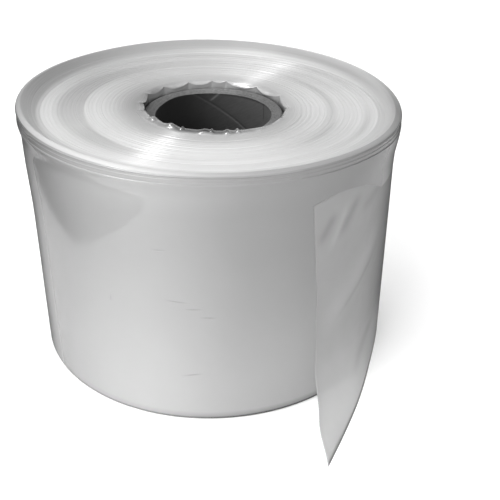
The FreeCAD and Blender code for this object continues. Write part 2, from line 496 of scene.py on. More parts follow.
class MaterialBench(NodeBench):
    """A material being put together round one Principled shader."""

    def __init__(self, name: str, effects: Effects) -> None:
        """Starts a material.

        Args:
            name: the material's name.
            effects: the shared node groups.
        """
        self.material = bpy.data.materials.new(name)
        self.material.use_nodes = True
        super().__init__(self.material.node_tree)
        self.effects = effects
        self.shader = next(n for n in self.tree.nodes if n.type == "BSDF_PRINCIPLED")

    def effect(self, group: bpy.types.NodeTree, **values: Number) -> dict[str, Socket]:
        """Places a node group.

        Args:
            group: the group's tree.
            values: its inputs by name, with _ for a space.

        Returns:
            The group's outputs by name.
        """
        node = self.add("Group")
        node.node_tree = group
        for name, value in values.items():
            self.feed(node.inputs[name.replace("_", " ")], value)
        return {socket.name: socket for socket in node.outputs}

    def haze(self, contrast: float, size: float) -> tuple[Socket, Socket]:
        """Places the milky haze, and gives its tone and its relief."""
        outputs = self.effect(self.effects.haze, Contrast=contrast, Size=size)
        return outputs["Tone"], outputs["Relief"]

    def stored(self, name: str) -> Socket:
        """A number stored on the piece's points."""
        return self.add("Attribute", attribute_name=name).outputs["Fac"]

    def grey(self, tint: float, *tones: Number) -> None:
        """Feeds the base colour with a grey tint times tones that change over the surface.

        Args:
            tint: the grey, from 0 to 1.
            tones: tones that multiply it.
        """
        mix = self.add("VectorMath", operation="SCALE")
        mix.inputs[0].default_value = (tint, tint, tint)
        self.feed(mix.inputs["Scale"], self.times(*tones))
        self.feed(self.shader.inputs["Base Color"], mix.outputs[0])

    def edge_on(self, strength: float, sharpness: float) -> Socket:
        """A number that grows from 0 to a strength where the surface is seen edge on."""
        facing = self.add("LayerWeight").outputs["Facing"]
        return self.times(self.math("POWER", facing, sharpness), strength)

    def relief(self, height: Number, depth: float) -> None:
        """Feeds the normal from a height that changes over the surface.

        Args:
            height: the height, from about 0 to 1.
            depth: metres that a height of 1 stands for.
        """
        bump = self.add("Bump")
        bump.inputs["Strength"].default_value = 1.0
        bump.inputs["Distance"].default_value = depth
        self.feed(bump.inputs["Height"], height)
        self.feed(self.shader.inputs["Normal"], bump.outputs[0])

    def constants(self, **values: float) -> None:
        """Sets the shader's own sockets, with _ for a space in their names."""
        for name, value in values.items():
            self.shader.inputs[name.replace("_", " ")].default_value = value


# ---- finishes -----------------------------------------------------------------------------

@dataclass(frozen=True)
class Finish:
    """What every finish has: its grey, its roughness, its refraction and the depth of its relief."""

    name: str
    tint: float
    roughness: float
    gloss: float
    bump: float

    def material(self, effects: Effects) -> bpy.types.Material:
        """Builds the material: what is the same all over it first, then what changes.

        Args:
            effects: the shared node groups.

        Returns:
            The material.
        """
        bench = MaterialBench(self.name, effects)
        bench.constants(Roughness=self.roughness, IOR=self.gloss)
        self.paint(bench)
        return bench.material

    def paint(self, bench: MaterialBench) -> None:
        """Adds what changes over the surface, in each finish's own way."""
        raise NotImplementedError


@dataclass(frozen=True)
class HazyFinish(Finish):
    """A film with a milky haze, which can take painted shade and roughen where it is seen edge on."""

    haze: float
    haze_size: float

    def painted_edge_shade(self, bench: MaterialBench, shade: float, sharpness: float) -> Socket:
        """Painted shade that darkens the film where it is seen edge on."""
        return bench.less(1.0, bench.edge_on(shade, sharpness))

    def roughen_edges(self, bench: MaterialBench, rougher: float, sharpness: float) -> None:
        """Makes the film rougher where it is seen edge on."""
        roughness = bench.plus(self.roughness, bench.edge_on(rougher, sharpness))
        bench.feed(bench.shader.inputs["Roughness"], roughness)


@dataclass(frozen=True)
class Pucker:
    """A short crease in the roll's side: where it is, how long, how wide and how it climbs."""

    azimuth: float
    height: float
    length: float
    width: float
    rise: float


@dataclass(frozen=True)
class SideFilm(HazyFinish):
    """Milky film seen flat on, over the roll's side."""

    name: str = "side_film"
    tint: float = 0.335
    roughness: float = 0.07
    gloss: float = 1.42
    bump: float = 0.6 * MM
    haze: float = 0.10
    haze_size: float = 60.0 * MM
    pucker_shade: float = 0.12
    pucker_depth: float = 0.4
    puckers: tuple[Pucker, ...] = (
        Pucker(-105.4, 121.1 * MM, 5.0 * MM, 0.6 * MM, 0.1),
        Pucker(-101.2, 87.4 * MM, 9.0 * MM, 0.8 * MM, -0.06),
        Pucker(-96.7, 82.5 * MM, 6.0 * MM, 0.6 * MM, 0.05),
        Pucker(-92.6, 76.9 * MM, 6.0 * MM, 0.6 * MM, 0.0),
        Pucker(-97.6, 34.7 * MM, 8.0 * MM, 0.8 * MM, 0.18),
        Pucker(-121.2, 81.6 * MM, 0.9 * MM, 3.0 * MM, 0.3),
    )

    def paint(self, bench: MaterialBench) -> None:
        """Adds what changes over the surface.

        Args:
            bench: the material being put together.
        """
        cloud, cloud_relief = bench.haze(self.haze, self.haze_size)
        dent: Number = 0.0
        for crease in self.puckers:
            sizes = {"Length": crease.length, "Width": crease.width, "Rise": crease.rise}
            mask = bench.effect(bench.effects.pucker, Azimuth=crease.azimuth, Height=crease.height, **sizes)
            dent = bench.plus(dent, mask["Mask"])
        # Painted shade in the puckers.
        tone = bench.less(cloud, bench.times(dent, self.pucker_shade))
        # Painted shade where the side is seen edge on.
        painted_edge_tone = self.painted_edge_shade(bench, shade=1.0, sharpness=2.2)
        bench.grey(self.tint, tone, bench.stored("tone"), painted_edge_tone)
        bench.relief(bench.less(cloud_relief, bench.times(dent, self.pucker_depth)), self.bump)
        self.roughen_edges(bench, rougher=0.9, sharpness=5.0)


@dataclass(frozen=True)
class EndFilm(HazyFinish):
    """The end face, where hundreds of film edges lie side by side."""

    name: str = "end_film"
    tint: float = 0.38
    roughness: float = 0.30
    gloss: float = 1.45
    bump: float = 0.22 * MM
    haze: float = 0.06
    haze_size: float = 30.0 * MM
    streaking: float = 1.0
    streak_turn: float = 0.25
    pitch: float = 0.9 * MM
    fine: float = 0.10
    band_pitch: float = 7.0 * MM
    broad: float = 0.08
    stray: float = 1.2 * MM

    def paint(self, bench: MaterialBench) -> None:
        """Adds what changes over the surface.

        Args:
            bench: the material being put together.
        """
        bands = {"Band_Pitch": self.band_pitch, "Band_Contrast": self.broad, "Stray": self.stray}
        wind = bench.effect(bench.effects.wind, Pitch=self.pitch, Contrast=self.fine, **bands)
        cloud, _cloud_relief = bench.haze(self.haze, self.haze_size)
        bench.grey(self.tint, wind["Tone"], cloud, bench.stored("tone"))
        bench.relief(wind["Relief"], self.bump)
        bench.constants(Anisotropic=self.streaking, Anisotropic_Rotation=self.streak_turn)
        tangent = bench.add("Tangent", direction_type="RADIAL", axis="Z")
        bench.feed(bench.shader.inputs["Tangent"], tangent.outputs[0])


@dataclass(frozen=True)
class InnerFilm(HazyFinish):
    """The buckled first turns that line the hollow over the core."""

    name: str = "inner_film"
    tint: float = 0.43
    roughness: float = 0.23
    gloss: float = 1.36
    bump: float = 0.4 * MM
    haze: float = 0.25
    haze_size: float = 8.0 * MM

    def paint(self, bench: MaterialBench) -> None:
        """Adds what changes over the surface.

        Args:
            bench: the material being put together.
        """
        cloud, cloud_relief = bench.haze(self.haze, self.haze_size)
        bench.grey(self.tint, cloud, bench.stored("tone"))
        bench.relief(cloud_relief, self.bump)


@dataclass(frozen=True)
class LooseFilm(HazyFinish):
    """The translucent free end, with darker cut edges."""

    name: str = "loose_film"
    tint: float = 0.37
    roughness: float = 0.28
    gloss: float = 1.4
    bump: float = 0.8 * MM
    haze: float = 0.12
    haze_size: float = 30.0 * MM
    rim_shade: float = 0.25
    rim_cover: float = 0.15

    def paint(self, bench: MaterialBench) -> None:
        """Adds what changes over the surface.

        Args:
            bench: the material being put together.
        """
        rim = bench.stored("rim")
        cloud, cloud_relief = bench.haze(self.haze, self.haze_size)
        inside = bench.less(1.0, bench.times(rim, self.rim_shade))
        # Painted shade where the free end is seen edge on.
        painted_edge_tone = self.painted_edge_shade(bench, shade=0.8, sharpness=2.3)
        bench.grey(self.tint, cloud, inside, bench.stored("tone"), painted_edge_tone)
        cover = bench.plus(bench.stored("cover"), bench.times(rim, self.rim_cover))
        bench.feed(bench.shader.inputs["Alpha"], bench.times(cover, bench.stored("fade")))
        bench.relief(cloud_relief, self.bump)
        self.roughen_edges(bench, rougher=0.7, sharpness=4.0)


@dataclass(frozen=True)
class GreyBoard(Finish):
    """Grey cardboard of the core."""

    tint: float = 0.14
    roughness: float = 0.85
    gloss: float = 1.5
    bump: float = 0.25 * MM
    contrast: float = 3.5
    lean: float = 0.55

    def paint(self, bench: MaterialBench) -> None:
        """Adds what changes over the surface.

        Args:
            bench: the material being put together.
        """
        fibre = bench.effect(bench.effects.fibre, Contrast=self.contrast, Lean=self.lean)
        bench.grey(self.tint, fibre["Tone"], bench.stored("tone"))
        bench.relief(fibre["Relief"], self.bump)


def add_finishes(piece: bpy.types.Object, finishes: dict[int, Finish], effects: Effects) -> None:
    """Gives a piece its finishes, in the order of their numbers."""
    for number in sorted(finishes):
        piece.data.materials.append(finishes[number].material(effects))


# ---- the wound film -----------------------------------------------------------------------

class PackFinish(IntEnum):
    """The finishes of the wound film, in the order of its material slots."""

    SIDE = 0
    END = 1
    INNER = 2
    RIM = 3


@dataclass(frozen=True)
class FirstRows:
    """Numbers of the first rows of the end face, of the hollow and of the flat foot."""

    face: int
    hollow: int
    foot: int


@dataclass(frozen=True)
class DarkRing:
    """A short ring, painted darker, in the end face."""

    azimuth: float
    spread: float
    radius: float
    strength: float


@dataclass
class FilmPack:
    """The wound turns: body, flared edge with the wraps' edges, dished end face, starring and foot."""

    core_radius: float
    core_height: float
    widest_radius: float
    top: float
    bottom: float = 0.0
    axis: tuple[float, float] = (-1.8 * MM, -1.0 * MM)
    star_centre: tuple[float, float] = (0.8 * MM, 0.0)
    segments: int = 432

    # The side and its flared edge.
    flare: float = 3.0 * MM
    foot_round: float = 1.0 * MM
    wraps_start: float = 148.0 * MM
    wraps_height: float = 8.8 * MM
    wraps_narrowing: float = 2.8 * MM
    edge_crest: float = 0.12 * MM
    edge_step: float = 0.05 * MM
    edge_gap: float = 0.35 * MM
    lip_inset: float = 3.8 * MM
    lip_tilt: float = 1.35

    # The end face.
    face_count: int = 125
    inner_height: float = 161.2 * MM
    lip_rise: float = 8.3 * MM
    dish_power: float = 4.5
    rim_start: Patches = (Patch(108.0 * MM), Patch(11.0 * MM, -80, 75))
    rim_slope: float = 0.42
    rim_power: float = 1.15
    ridge: Patches = (Patch(78.5 * MM), Patch(8.5 * MM, -72, 62))
    trough: Patches = (Patch(96.5 * MM), Patch(7.0 * MM, -15, 28))
    swell_height: float = 0.9 * MM
    ledge_height: float = 0.3 * MM
    step_height: float = 0.25 * MM
    grooves: tuple[tuple[float, float, float], ...] = ((0.10, 2.3, 0.0), (0.08, 3.9, 1.0), (0.07, 1.1, 2.0))
    fan: Patch = Patch(0.16, 0, 28, rises=(55 * MM, 59 * MM), falls=(72 * MM, 76 * MM))
    grooved: Patch = Patch(1.0 * MM, rises=(52 * MM, 60 * MM), falls=(114 * MM, 118 * MM))

    # The starred inner edge and the hollow over the core.
    bore_clearance: float = 0.15 * MM
    cusp_radius: float = 46.2 * MM
    cusp_azimuths: tuple[float, ...] = (
        -3.0, 24.0, 52.0, 80.0, 91.5, 111.5, 134.0, 155.0, 176.0, 192.0, 209.0, 226.0, 244.0, 260.0, 279.0,
        298.0, 333.0,
    )
    cusp_sharpness: float = 0.75
    usual_bulge: float = 21.0
    bulge_depth: float = 2.0 * MM
    bulge_sag: float = 2.6 * MM
    crests: Patches = (
        Patch(2.8 * MM, 85, 38),
        Patch(3.7 * MM, 145, 25),
        Patch(-0.5 * MM, 255, 35),
        Patch(2.0 * MM, 20, 28),
    )
    bulges: Patches = (Patch(1.0), Patch(0.8, 50, 22), Patch(-0.5, 255, 50))
    front_lips: Patches = (
        small_lip(-146.0, 3.6, 48.6 * MM),
        small_lip(-126.0, 4.0, 48.2 * MM),
        small_lip(-115.7, 0.9, 47.6 * MM),
        small_lip(-98.0, 4.5, 50.3 * MM),
        small_lip(-92.6, 1.0, 48.2 * MM),
        small_lip(-81.0, 2.3, 50.5 * MM),
        small_lip(-72.7, 1.3, 48.8 * MM),
    )
    front_curl: float = 0.7 * MM
    front_curl_falls: Span = (46.5 * MM, 51.0 * MM)
    pocket_floor: float = 152.5 * MM
    floor_gap: float = 0.6 * MM

    # Which rows of faces have which finish, counted from the lip and from the starred edge.
    rim_rows_outside: int = 7
    rim_rows_inside: int = 18
    inner_rows: int = 5
    front_inner_rows: int = 10

    # Painted light and shade on the side.
    painted_side_light: Patches = (
        # Painted light from the table, towards the foot.
        Patch(0.17, falls=(0.0, 120 * MM)),
        Patch(0.10, -125, 50, falls=(0.0, 120 * MM)),
        Patch(0.10, -70, 22, falls=(0.0, 120 * MM)),
        # Painted light on the flared collar at the front, and painted shade on it at the left.
        Patch(0.14, -120, 35, rises=(140 * MM, 160 * MM)),
        Patch(-0.50, 180, 36, rises=(140 * MM, 160 * MM)),
        # Painted shadow where the roll stands on the table.
        Patch(-0.50, falls=(1 * MM, 3 * MM)),
        Patch(-0.30, -80, 40, falls=(1 * MM, 3 * MM)),
        Patch(-0.20, -62, 25, falls=(1 * MM, 3 * MM)),
        # Painted light at the front left, and painted shade at the right.
        Patch(0.12, -122, 45),
        Patch(-0.06, -45, 25),
        Patch(-0.30, -10, 17),
    )
    # Painted shade on the right side, a little stronger higher up.
    right_shade: float = 0.32
    right_shade_more_above: float = 0.02
    right_shade_rises: Span = (-114.0, -78.0)
    right_shade_falls: Span = (0.0, 40.0)

    # Painted light and shade on the end face.
    painted_face_light: Patches = (
        # A painted highlight: the pale fan at the front left, which ends before the rim.
        Patch(0.36, -105, 50, rises=(54 * MM, 76 * MM)),
        Patch(-0.198, -105, 50, rises=(107 * MM, 117 * MM)),
        # A painted highlight: the pale fan at the back.
        Patch(0.20, 72, 15, rises=(56 * MM, 66 * MM)),
        # Painted shade on the rim at the back.
        Patch(-0.24, 145, 75, rises=(107 * MM, 115 * MM)),
        Patch(-0.35, 66, 28, rises=(110 * MM, 116 * MM)),
        # Painted shade at the left and at the right.
        Patch(-0.22, 168, 50),
        Patch(-0.17, -20, 36),
        # Painted shade at the brink of the hollow.
        Patch(-0.34, 180, 40, falls=(46 * MM, 74 * MM)),
        Patch(-0.20, -8, 40, falls=(46 * MM, 66 * MM)),
        Patch(-0.22, falls=(46 * MM, 68 * MM)),
    )
    # A band of painted shade in the end face, strongest at the left.
    shaded_band_start: Patches = (Patch(79.0 * MM), Patch(8.0 * MM, -95, 55))
    shaded_band_end: Patches = (Patch(90.0 * MM), Patch(4.0 * MM, 180, 50))
    shaded_band_shade: float = 0.34
    dark_ring_width: float = 2.6 * MM
    dark_rings: tuple[DarkRing, ...] = (
        DarkRing(8.0, 45.0, 79.0 * MM, 0.24),
        DarkRing(-20.0, 18.0, 102.0 * MM, 0.22),
        DarkRing(32.0, 28.0, 114.5 * MM, 0.22),
        DarkRing(-33.0, 15.0, 83.0 * MM, 0.20),
        DarkRing(-3.0, 18.0, 119.0 * MM, 0.25),
    )
    # Painted shade along the front of the starred edge, and a painted highlight on the edge at the front
    # right.
    front_edge_shade: float = 0.93
    front_edge_falls: Span = (2.0 * MM, 7.0 * MM)
    front_glint: float = 0.9

    # Painted light and shade on the hollow's wall, and painted shade in the gap beside the core.
    wall_painted_light: Patches = (Patch(0.60), Patch(-0.30, 178, 35))
    gap_painted_shade: Patches = (Patch(0.10), Patch(0.25, 35, 75))
    gap_brink: Patches = (Patch(-2.0 * MM), Patch(1.4 * MM, 178, 35))
    gap_softness: float = 1.4 * MM

    def __post_init__(self) -> None:
        """Works out the sizes that follow from the fields."""
        self.azimuths = np.arange(self.segments) * 360 / self.segments
        self.body_radius = self.widest_radius - self.flare
        self.lip_radius = self.widest_radius - self.lip_inset
        self.lip_height = self.top - self.lip_radius * math.sin(math.radians(self.lip_tilt))
        self.core_centre = (-self.axis[0], -self.axis[1])
        self.bore = self.core_radius + self.bore_clearance

    def ring(self, radius: Values, height: Values, centre: Span = (0, 0)) -> Row:
        """One row of points round a centre, which is given from the film's own axis."""
        return polar_points(radius, self.azimuths, height) + np.array([*centre, 0.0])

    def tilt(self, x: np.ndarray) -> np.ndarray:
        """How far the leaning end face stands above its height on the axis."""
        return -x * math.sin(math.radians(self.lip_tilt))

    def lip_line(self) -> np.ndarray:
        """The lip before it is tilted. It sags a little beside the free end.

        Returns:
            Its height at each azimuth.
        """
        sag = 1.4 * MM * hump(self.azimuths, -20, 35)
        wander = 0.3 * MM * wave(self.azimuths, 3, 40) + 0.15 * MM * wave(self.azimuths, 5, 10)
        return self.lip_height - sag + wander

    def lip(self) -> np.ndarray:
        """Height of the lip round the roll."""
        return self.lip_line() + self.tilt(self.lip_radius * np.cos(np.radians(self.azimuths)))

    def star(self) -> tuple[np.ndarray, np.ndarray]:
        """The buckled inner edge: arcs that bulge towards the hole between sharp cusps.

        Returns:
            Its radius round the roll, and the share of the way into a bulge, 0 at the cusps.
        """
        cusps = np.array(self.cusp_azimuths)
        place = (self.azimuths - cusps[0]) % 360 + cusps[0]
        nearest = np.searchsorted(cusps, place, side="right") - 1
        following = np.append(cusps[1:], cusps[0] + 360)
        width = following[nearest] - cusps[nearest]
        share = (place - cusps[nearest]) / width
        bulge = np.sin(np.pi * share) ** self.cusp_sharpness * np.clip(width / self.usual_bulge, 0.55, 1.1)
        crest = total(self.crests, self.azimuths)
        depth = self.bulge_depth * total(self.bulges, self.azimuths)
        return self.cusp_radius + crest - depth * bulge, bulge

    def rim_height(self, reach: np.ndarray) -> np.ndarray:
        """How far the steeper rim of the end face climbs over a reach from where it starts."""
        return self.rim_slope * MM * (np.clip(reach, 0, None) / MM) ** self.rim_power

    def terraces(self, radius: np.ndarray, around: np.ndarray) -> np.ndarray:
        """The broad swell, ledge and step of the end face, one beyond the other.

        Args:
            radius: distance of each point from the film's axis.
            around: its azimuth.

        Returns:
            What they add to each point's height.
        """
        ridge, trough = total(self.ridge, around), total(self.trough, around)
        strong = 0.25 + 0.75 * np.maximum(hump(around, 180, 55), hump(around, -110, 60))
        swell = plateau(radius, (ridge - 18 * MM, ridge), (ridge, trough))
        ledge = plateau(radius, (trough, trough + 1.6 * MM), (trough + 4 * MM, trough + 14 * MM))
        step = plateau(radius, (ridge - 0.5 * MM, ridge + 1.0 * MM), (ridge + 2 * MM, trough))
        return self.swell_height * strong * swell + self.ledge_height * ledge + self.step_height * step

    def uneven_turns(self, radius: np.ndarray, around: np.ndarray) -> np.ndarray:
        """The grooves between uneven turns of the end face.

        Args:
            radius: distance of each point from the film's axis.
            around: its azimuth.

        Returns:
            What they add to each point's height.
        """
        stray = radius / MM + 0.8 * wave(around, 1, 70) + 0.4 * wave(around, 2, 15)
        grooves = sum(depth * np.sin(stray * rate + phase) for depth, rate, phase in self.grooves)
        grooves = grooves + np.sin(stray * 2.0) * self.fan.at(around, radius)
        return grooves * self.grooved.at(around, radius)

    def dish(self, x: np.ndarray, y: np.ndarray) -> np.ndarray:
        """Height of the end face: flat inside, then steeper towards the rim, in uneven terraces.

        Args:
            x: across the roll, from the film's own axis.
            y: into the scene, from the film's own axis.

        Returns:
            The height of each point.
        """
        radius = np.hypot(x, y)
        around = np.degrees(np.arctan2(y, x))
        along = np.clip((radius - self.core_radius) / (self.lip_radius - self.core_radius), 0, 1)
        rim_start = total(self.rim_start, around)
        rise = self.lip_rise - self.rim_height(self.lip_radius - rim_start)
        rise = rise + self.lip_line() - self.lip_height
        height = self.inner_height + rise * along ** self.dish_power + self.rim_height(radius - rim_start)
        return height + self.tilt(x) + self.terraces(radius, around) + self.uneven_turns(radius, around)

    def outer_radius(self, height: np.ndarray) -> np.ndarray:
        """Radius of the roll's side at a height round the roll, with its flare.

        Args:
            height: a height at each azimuth.

        Returns:
            The radius at each azimuth.
        """
        sudden = hump(self.azimuths, -20, 65)
        gradual = 0.40 * ease(height, 100 * MM, 146 * MM) + 0.44 * ease(height, 155.5 * MM, 163.5 * MM)
        abrupt = 0.28 * ease(height, 110 * MM, 140 * MM) + 0.72 * ease(height, 137 * MM, 156 * MM)
        swell = 0.25 * MM * hump(self.azimuths, 175, 60) * fall(height, 30 * MM, 70 * MM)
        return self.body_radius + self.flare * (sudden * abrupt + (1 - sudden) * gradual) + swell

    def wrap_edges(self) -> list[tuple[np.ndarray, np.ndarray]]:
        """The edges of the outer wraps that show below the lip, lowest first.

        Returns:
            For each edge, its height and how far it stands proud, round the roll.
        """
        lip = self.lip()
        drop = self.wraps_height - self.wraps_narrowing * np.cos(np.radians(self.azimuths + 80))
        lowest = lip - drop + 0.25 * MM * wave(self.azimuths, 7, 0)
        middle = lip - 0.6 * drop + 0.2 * MM * wave(self.azimuths, 5, 30)
        highest = lip - 0.28 * drop
        return [
            (lowest, 0.40 * MM * (1 - 0.85 * hump(self.azimuths, -80, 17))),
            (middle, 0.22 * MM * (0.45 + 0.55 * hump(self.azimuths, -25, 55))),
            (highest, 0.25 * MM * (1 - 0.5 * hump(self.azimuths, -70, 40))),
        ]

    def side_rows(self) -> list[Row]:
        """Rows of the outside, from the foot to the lip.

        Returns:
            The rows.
        """
        level = np.ones(self.segments)
        rows = []
        for share in (0.0, 0.3, 0.6, 1.0):
            inward = self.foot_round * (1 - math.sin(share * math.pi / 2))
            height = self.bottom + self.foot_round * (1 - math.cos(share * math.pi / 2))
            rows.append(self.ring(self.outer_radius(level * height) - inward, height))
        for share in (0.015, *np.linspace(0.04, 1, 26)):
            height = level * self.wraps_start * share
            rows.append(self.ring(self.outer_radius(height), height))
        below = level * self.wraps_start
        for edge, proud in self.wrap_edges():
            for share in (0.2, 0.4, 0.6, 0.8, 0.93):
                height = below + (edge - below) * share
                rows.append(self.ring(self.outer_radius(height) + proud * share ** 2, height))
            for part, above in ((1.0, -self.edge_crest), (0.75, 0.0), (-0.1, self.edge_step)):
                rows.append(self.ring(self.outer_radius(edge) + part * proud, edge + above))
            below = edge + self.edge_gap
            rows.append(self.ring(self.outer_radius(below), below))
        lip = self.lip()
        start = self.outer_radius(below)
        for quarter in np.linspace(0.15, 1, 8) * math.pi / 2:
            radius = start + (self.lip_radius - start) * (1 - math.cos(quarter))
            rows.append(self.ring(radius, below + (lip - below) * math.sin(quarter)))
        return rows

    def face_rows(self) -> list[Row]:
        """Rows of the end face, from the lip in to the starred edge.

        Returns:
            The rows.
        """
        star, bulge = self.star()
        shift = np.array(self.star_centre) - np.array(self.axis)
        front = np.clip(1.3 * hump(self.azimuths, 252, 60), 0, 1)
        rows = []
        for share in np.linspace(0, 1, self.face_count + 1)[1:]:
            near = np.clip((share - 0.90) / 0.10, 0, 1)
            inner = self.cusp_radius + (star - self.cusp_radius) * near
            radius = self.lip_radius + (inner - self.lip_radius) * share
            row = self.ring(radius, 0.0, tuple(shift * share ** 3))
            sag = self.bulge_sag * bulge * near ** 3 * (1 - front)
            curl = self.front_curl * front * fall(radius, *self.front_curl_falls)
            lips = total(self.front_lips, self.azimuths, radius)
            row[:, 2] = self.dish(row[:, 0], row[:, 1]) - sag + curl + lips
            rows.append(row)
        return rows

    def hollow_rows(self, edge: Row) -> list[Row]:
        """Rows of the starred wall, the hollow's floor beside the core, and the bore down to the foot.

        Args:
            edge: the starred edge, where the end face ends.

        Returns:
            The rows, from the edge down.
        """
        wall_foot = self.ring(self.bore + self.floor_gap, self.pocket_floor, self.core_centre)
        reach = np.hypot(edge[:, 0] - self.core_centre[0], edge[:, 1] - self.core_centre[1])
        power = 0.3 + 0.9 * ease(reach, 46.5 * MM, 48.5 * MM)
        rows = []
        for share in (0.04, 0.12, 0.3, 0.5, 0.7, 0.9, 1.0):
            row = edge + (wall_foot - edge) * share
            row[:, :2] = edge[:, :2] + (wall_foot[:, :2] - edge[:, :2]) * (share ** power)[:, None]
            rows.append(row)
        for height in (self.pocket_floor - 0.5 * MM, 0.5 * self.pocket_floor, self.bottom):
            rows.append(self.ring(self.bore, height, self.core_centre))
        return rows

    def foot_rows(self) -> list[Row]:
        """Rows of the flat foot, from the bore out to the rounded foot edge.

        Returns:
            The rows.
        """
        bore = self.ring(self.bore, self.bottom, self.core_centre)
        outer = self.ring(self.body_radius - self.foot_round, self.bottom)
        return [bore + (outer - bore) * share for share in np.linspace(0, 1, 9)[1:-1]]

    def side_painted_light(self, around: np.ndarray, height: np.ndarray) -> np.ndarray:
        """The side's painted light and shade.

        Args:
            around: azimuth of each point.
            height: its height.

        Returns:
            The tone of each point, about 1.
        """
        # Painted shade on the right, with the side's other painted light and shade.
        right = self.right_shade + self.right_shade_more_above * ease(height, 100 * MM, 150 * MM)
        right = right * plateau(around, self.right_shade_rises, self.right_shade_falls)
        return 1 + total(self.painted_side_light, around, height) - right

    def face_painted_light(self, around: np.ndarray, radius: np.ndarray) -> np.ndarray:
        """The end face's painted light and shade, with its darker rings.

        Args:
            around: azimuth of each point.
            radius: its distance from the film's axis.

        Returns:
            The tone of each point, about 1.
        """
        # A band of painted shade, and the darker rings.
        start, end = total(self.shaded_band_start, around), total(self.shaded_band_end, around)
        left = np.maximum(hump(around, 180, 50), hump(around, -135, 38))
        bands = self.shaded_band_shade * left * plateau(radius, (start, start + 2 * MM), (end, end + 8 * MM))
        for dark in self.dark_rings:
            ring = bell(radius, dark.radius, self.dark_ring_width)
            bands = bands + dark.strength * hump(around, dark.azimuth, dark.spread) * ring
        return 1 + total(self.painted_face_light, around, radius) - bands

    def hollow_painted_light(self, around: np.ndarray, height: np.ndarray) -> np.ndarray:
        """Painted light and shade on the hollow's wall, falling to painted shade in the gap beside the
        core.

        Args:
            around: azimuth of each point.
            height: its height.

        Returns:
            The tone of each point.
        """
        # Painted shade in the gap beside the core, and painted light and shade on the wall above it.
        brink = self.core_height + total(self.gap_brink, around)
        dark, wall = total(self.gap_painted_shade, around), total(self.wall_painted_light, around)
        return dark + (wall - dark) * ease(height, brink, brink + self.gap_softness)

    def tones(self, rows: np.ndarray, first: FirstRows) -> np.ndarray:
        """The painted light and shade of every point.

        Args:
            rows: the rows of points, in the film's own frame.
            first: where the bands of rows start.

        Returns:
            The tone of each point, row by row.
        """
        x, y, height = np.moveaxis(rows, -1, 0)
        around = np.degrees(np.arctan2(y, x))
        tone = self.side_painted_light(around, height)
        face, hollow = slice(first.face, first.hollow), slice(first.hollow, first.foot)
        tone[face] = self.face_painted_light(around[face], np.hypot(x[face], y[face]))
        tone[hollow] = self.hollow_painted_light(around[hollow], height[hollow])
        edge = first.hollow - 1
        from_edge = np.hypot(x[face] - x[edge], y[face] - y[edge])
        # Painted shade along the front of the starred edge, and a painted highlight on the edge at the
        # front right.
        front = hump(self.azimuths, 262, 44) * fall(from_edge, *self.front_edge_falls)
        tone[face] *= 1 - self.front_edge_shade * front
        tone[edge - 1:edge + 1] *= 1 + self.front_glint * hump(self.azimuths, 312, 9)
        return tone

    def finish_numbers(self, row_count: int, first: FirstRows) -> np.ndarray:
        """Which finish each face has.

        Args:
            row_count: number of rows of points.
            first: where the bands of rows start.

        Returns:
            The number of each face's finish, row by row.
        """
        numbers = np.full((row_count, self.segments), int(PackFinish.SIDE))
        numbers[first.face - self.rim_rows_outside:] = PackFinish.RIM
        numbers[first.face + self.rim_rows_inside:] = PackFinish.END
        numbers[first.hollow - self.inner_rows:] = PackFinish.INNER
        numbers[first.foot - 1:] = PackFinish.END
        numbers[-1] = PackFinish.SIDE
        front = hump(self.azimuths, 250, 50) > 0.3
        numbers[first.hollow - self.front_inner_rows:first.hollow, front] = PackFinish.INNER
        return numbers

    def build(self) -> bpy.types.Object:
        """Builds the closed mesh, with its tones and the finish of each face.

        Returns:
            The piece.
        """
        side, face = self.side_rows(), self.face_rows()
        hollow, foot = self.hollow_rows(face[-1]), self.foot_rows()
        first = FirstRows(*np.cumsum([len(side), len(face), len(hollow)]).tolist())
        rows = np.array(side + face + hollow + foot)
        points = rows.reshape(-1, 3) + np.array([*self.axis, 0.0])
        piece = new_piece("film_pack", points, grid_faces(len(rows), self.segments, Closure.TORUS))
        # The stored tone holds the painted light and shade.
        add_values(piece, "tone", self.tones(rows, first))
        set_finishes(piece, self.finish_numbers(len(rows), first))
        return piece

    def dress(self, piece: bpy.types.Object, effects: Effects) -> None:
        """Gives the pack its finishes, puts it under the root body, and hides the CAD part that it stands
        for.

        Args:
            piece: the piece that build made.
            effects: the shared node groups.
        """
        finishes = {
            PackFinish.SIDE: SideFilm(),
            PackFinish.END: EndFilm(),
            PackFinish.INNER: InnerFilm(),
            PackFinish.RIM: EndFilm("rim_film", roughness=0.45, streaking=0.0, fine=0.05, gloss=1.2),
        }
        add_finishes(piece, finishes, effects)
        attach(piece, ROOT)
        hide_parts("film_roll")


# ---- the free end -------------------------------------------------------------------------

@dataclass(frozen=True)
class Crease:
    """A soft diagonal fold in the free end, from its foot to its head, in degrees and metres."""

    foot_azimuth: float
    foot_height: float
    head_azimuth: float
    head_height: float
    width: float
    lift: float
    # Painted light where positive, painted shade where negative, along the fold.
    shade: float


